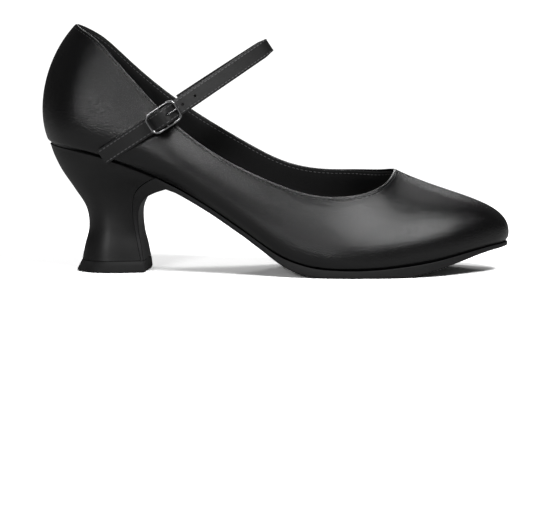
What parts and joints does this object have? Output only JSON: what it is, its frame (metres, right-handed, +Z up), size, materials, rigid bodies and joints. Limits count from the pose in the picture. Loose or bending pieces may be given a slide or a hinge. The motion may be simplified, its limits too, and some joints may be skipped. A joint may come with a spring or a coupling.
{
  "type": "character dance shoe",
  "caption": "Right shoe with a low-cut leather upper, curved heel with the sole turned down its breast, and a slim instep strap closed by a small buckle.",
  "frame": {"origin": "centre of the bounding box in plan, on the ground under the sole and heel", "axes": "+X towards the toe, +Y towards the inner (medial) side of the foot, +Z up"},
  "size_m": [0.2402, 0.0844, 0.1268],
  "materials": {
    "upper_leather": "satin black grain",
    "lining": "matte black woven",
    "stiffener": "unpainted",
    "insole_board": "fibreboard",
    "sock": "matte black",
    "pad": "covered foam",
    "steel": "bright",
    "rivet_brass": "bright",
    "cork": "cork sheet",
    "heel_block": "satin black cover",
    "dowel": "moulded",
    "top_piece": "matte black",
    "sole_leather": "matte black",
    "strap_leather": "satin black",
    "strap_backing": "matte black",
    "nickel": "polished nickel"
  },
  "bodies": {
    "shoe": {"upper": "upper_leather", "vamp_lining": "lining", "quarter_lining": "lining", "counter_stiffener": "stiffener", "toe_puff": "stiffener", "insole_board": "insole_board", "sock_liner": "sock", "heel_pad": "pad", "shank": "steel", "shank_rivet_1": "rivet_brass", "shank_rivet_2": "rivet_brass", "bottom_filler": "cork", "heel_block": "heel_block", "heel_screw": "steel", "heel_nail_1": "steel", "heel_nail_2": "steel", "heel_nail_3": "steel", "heel_nail_4": "steel", "top_piece_dowel_1": "dowel", "top_piece_dowel_2": "dowel", "top_piece": "top_piece", "outsole": "sole_leather", "strap_sewn_end": "strap_leather", "chape_sewn_end": "strap_leather"},
    "strap": {"strap_outer": "strap_leather", "strap_backing": "strap_backing", "buckle_chape": "strap_leather"},
    "buckle": {"buckle_frame": "nickel"},
    "prong": {"buckle_prong": "nickel"}
  },
  "joints": [
    {"name": "strap_swing", "type": "hinge", "parent": "shoe", "child": "strap", "pos_m": [-0.05238, 0.00099, 0.08355], "axis": [0.1048, 0.9924, 0.0641], "range_deg": [-12, 5]},
    {"name": "buckle_tilt", "type": "hinge", "parent": "strap", "child": "buckle", "pos_m": [-0.05638, -0.03776, 0.0809], "axis": [0.5505, 0, -0.8348], "range_deg": [-2.5, 2.5]},
    {"name": "prong_lift", "type": "hinge", "parent": "buckle", "child": "prong", "pos_m": [-0.05638, -0.03776, 0.0809], "axis": [0.5505, 0, -0.8348], "range_deg": [0, 30]}
  ]
}
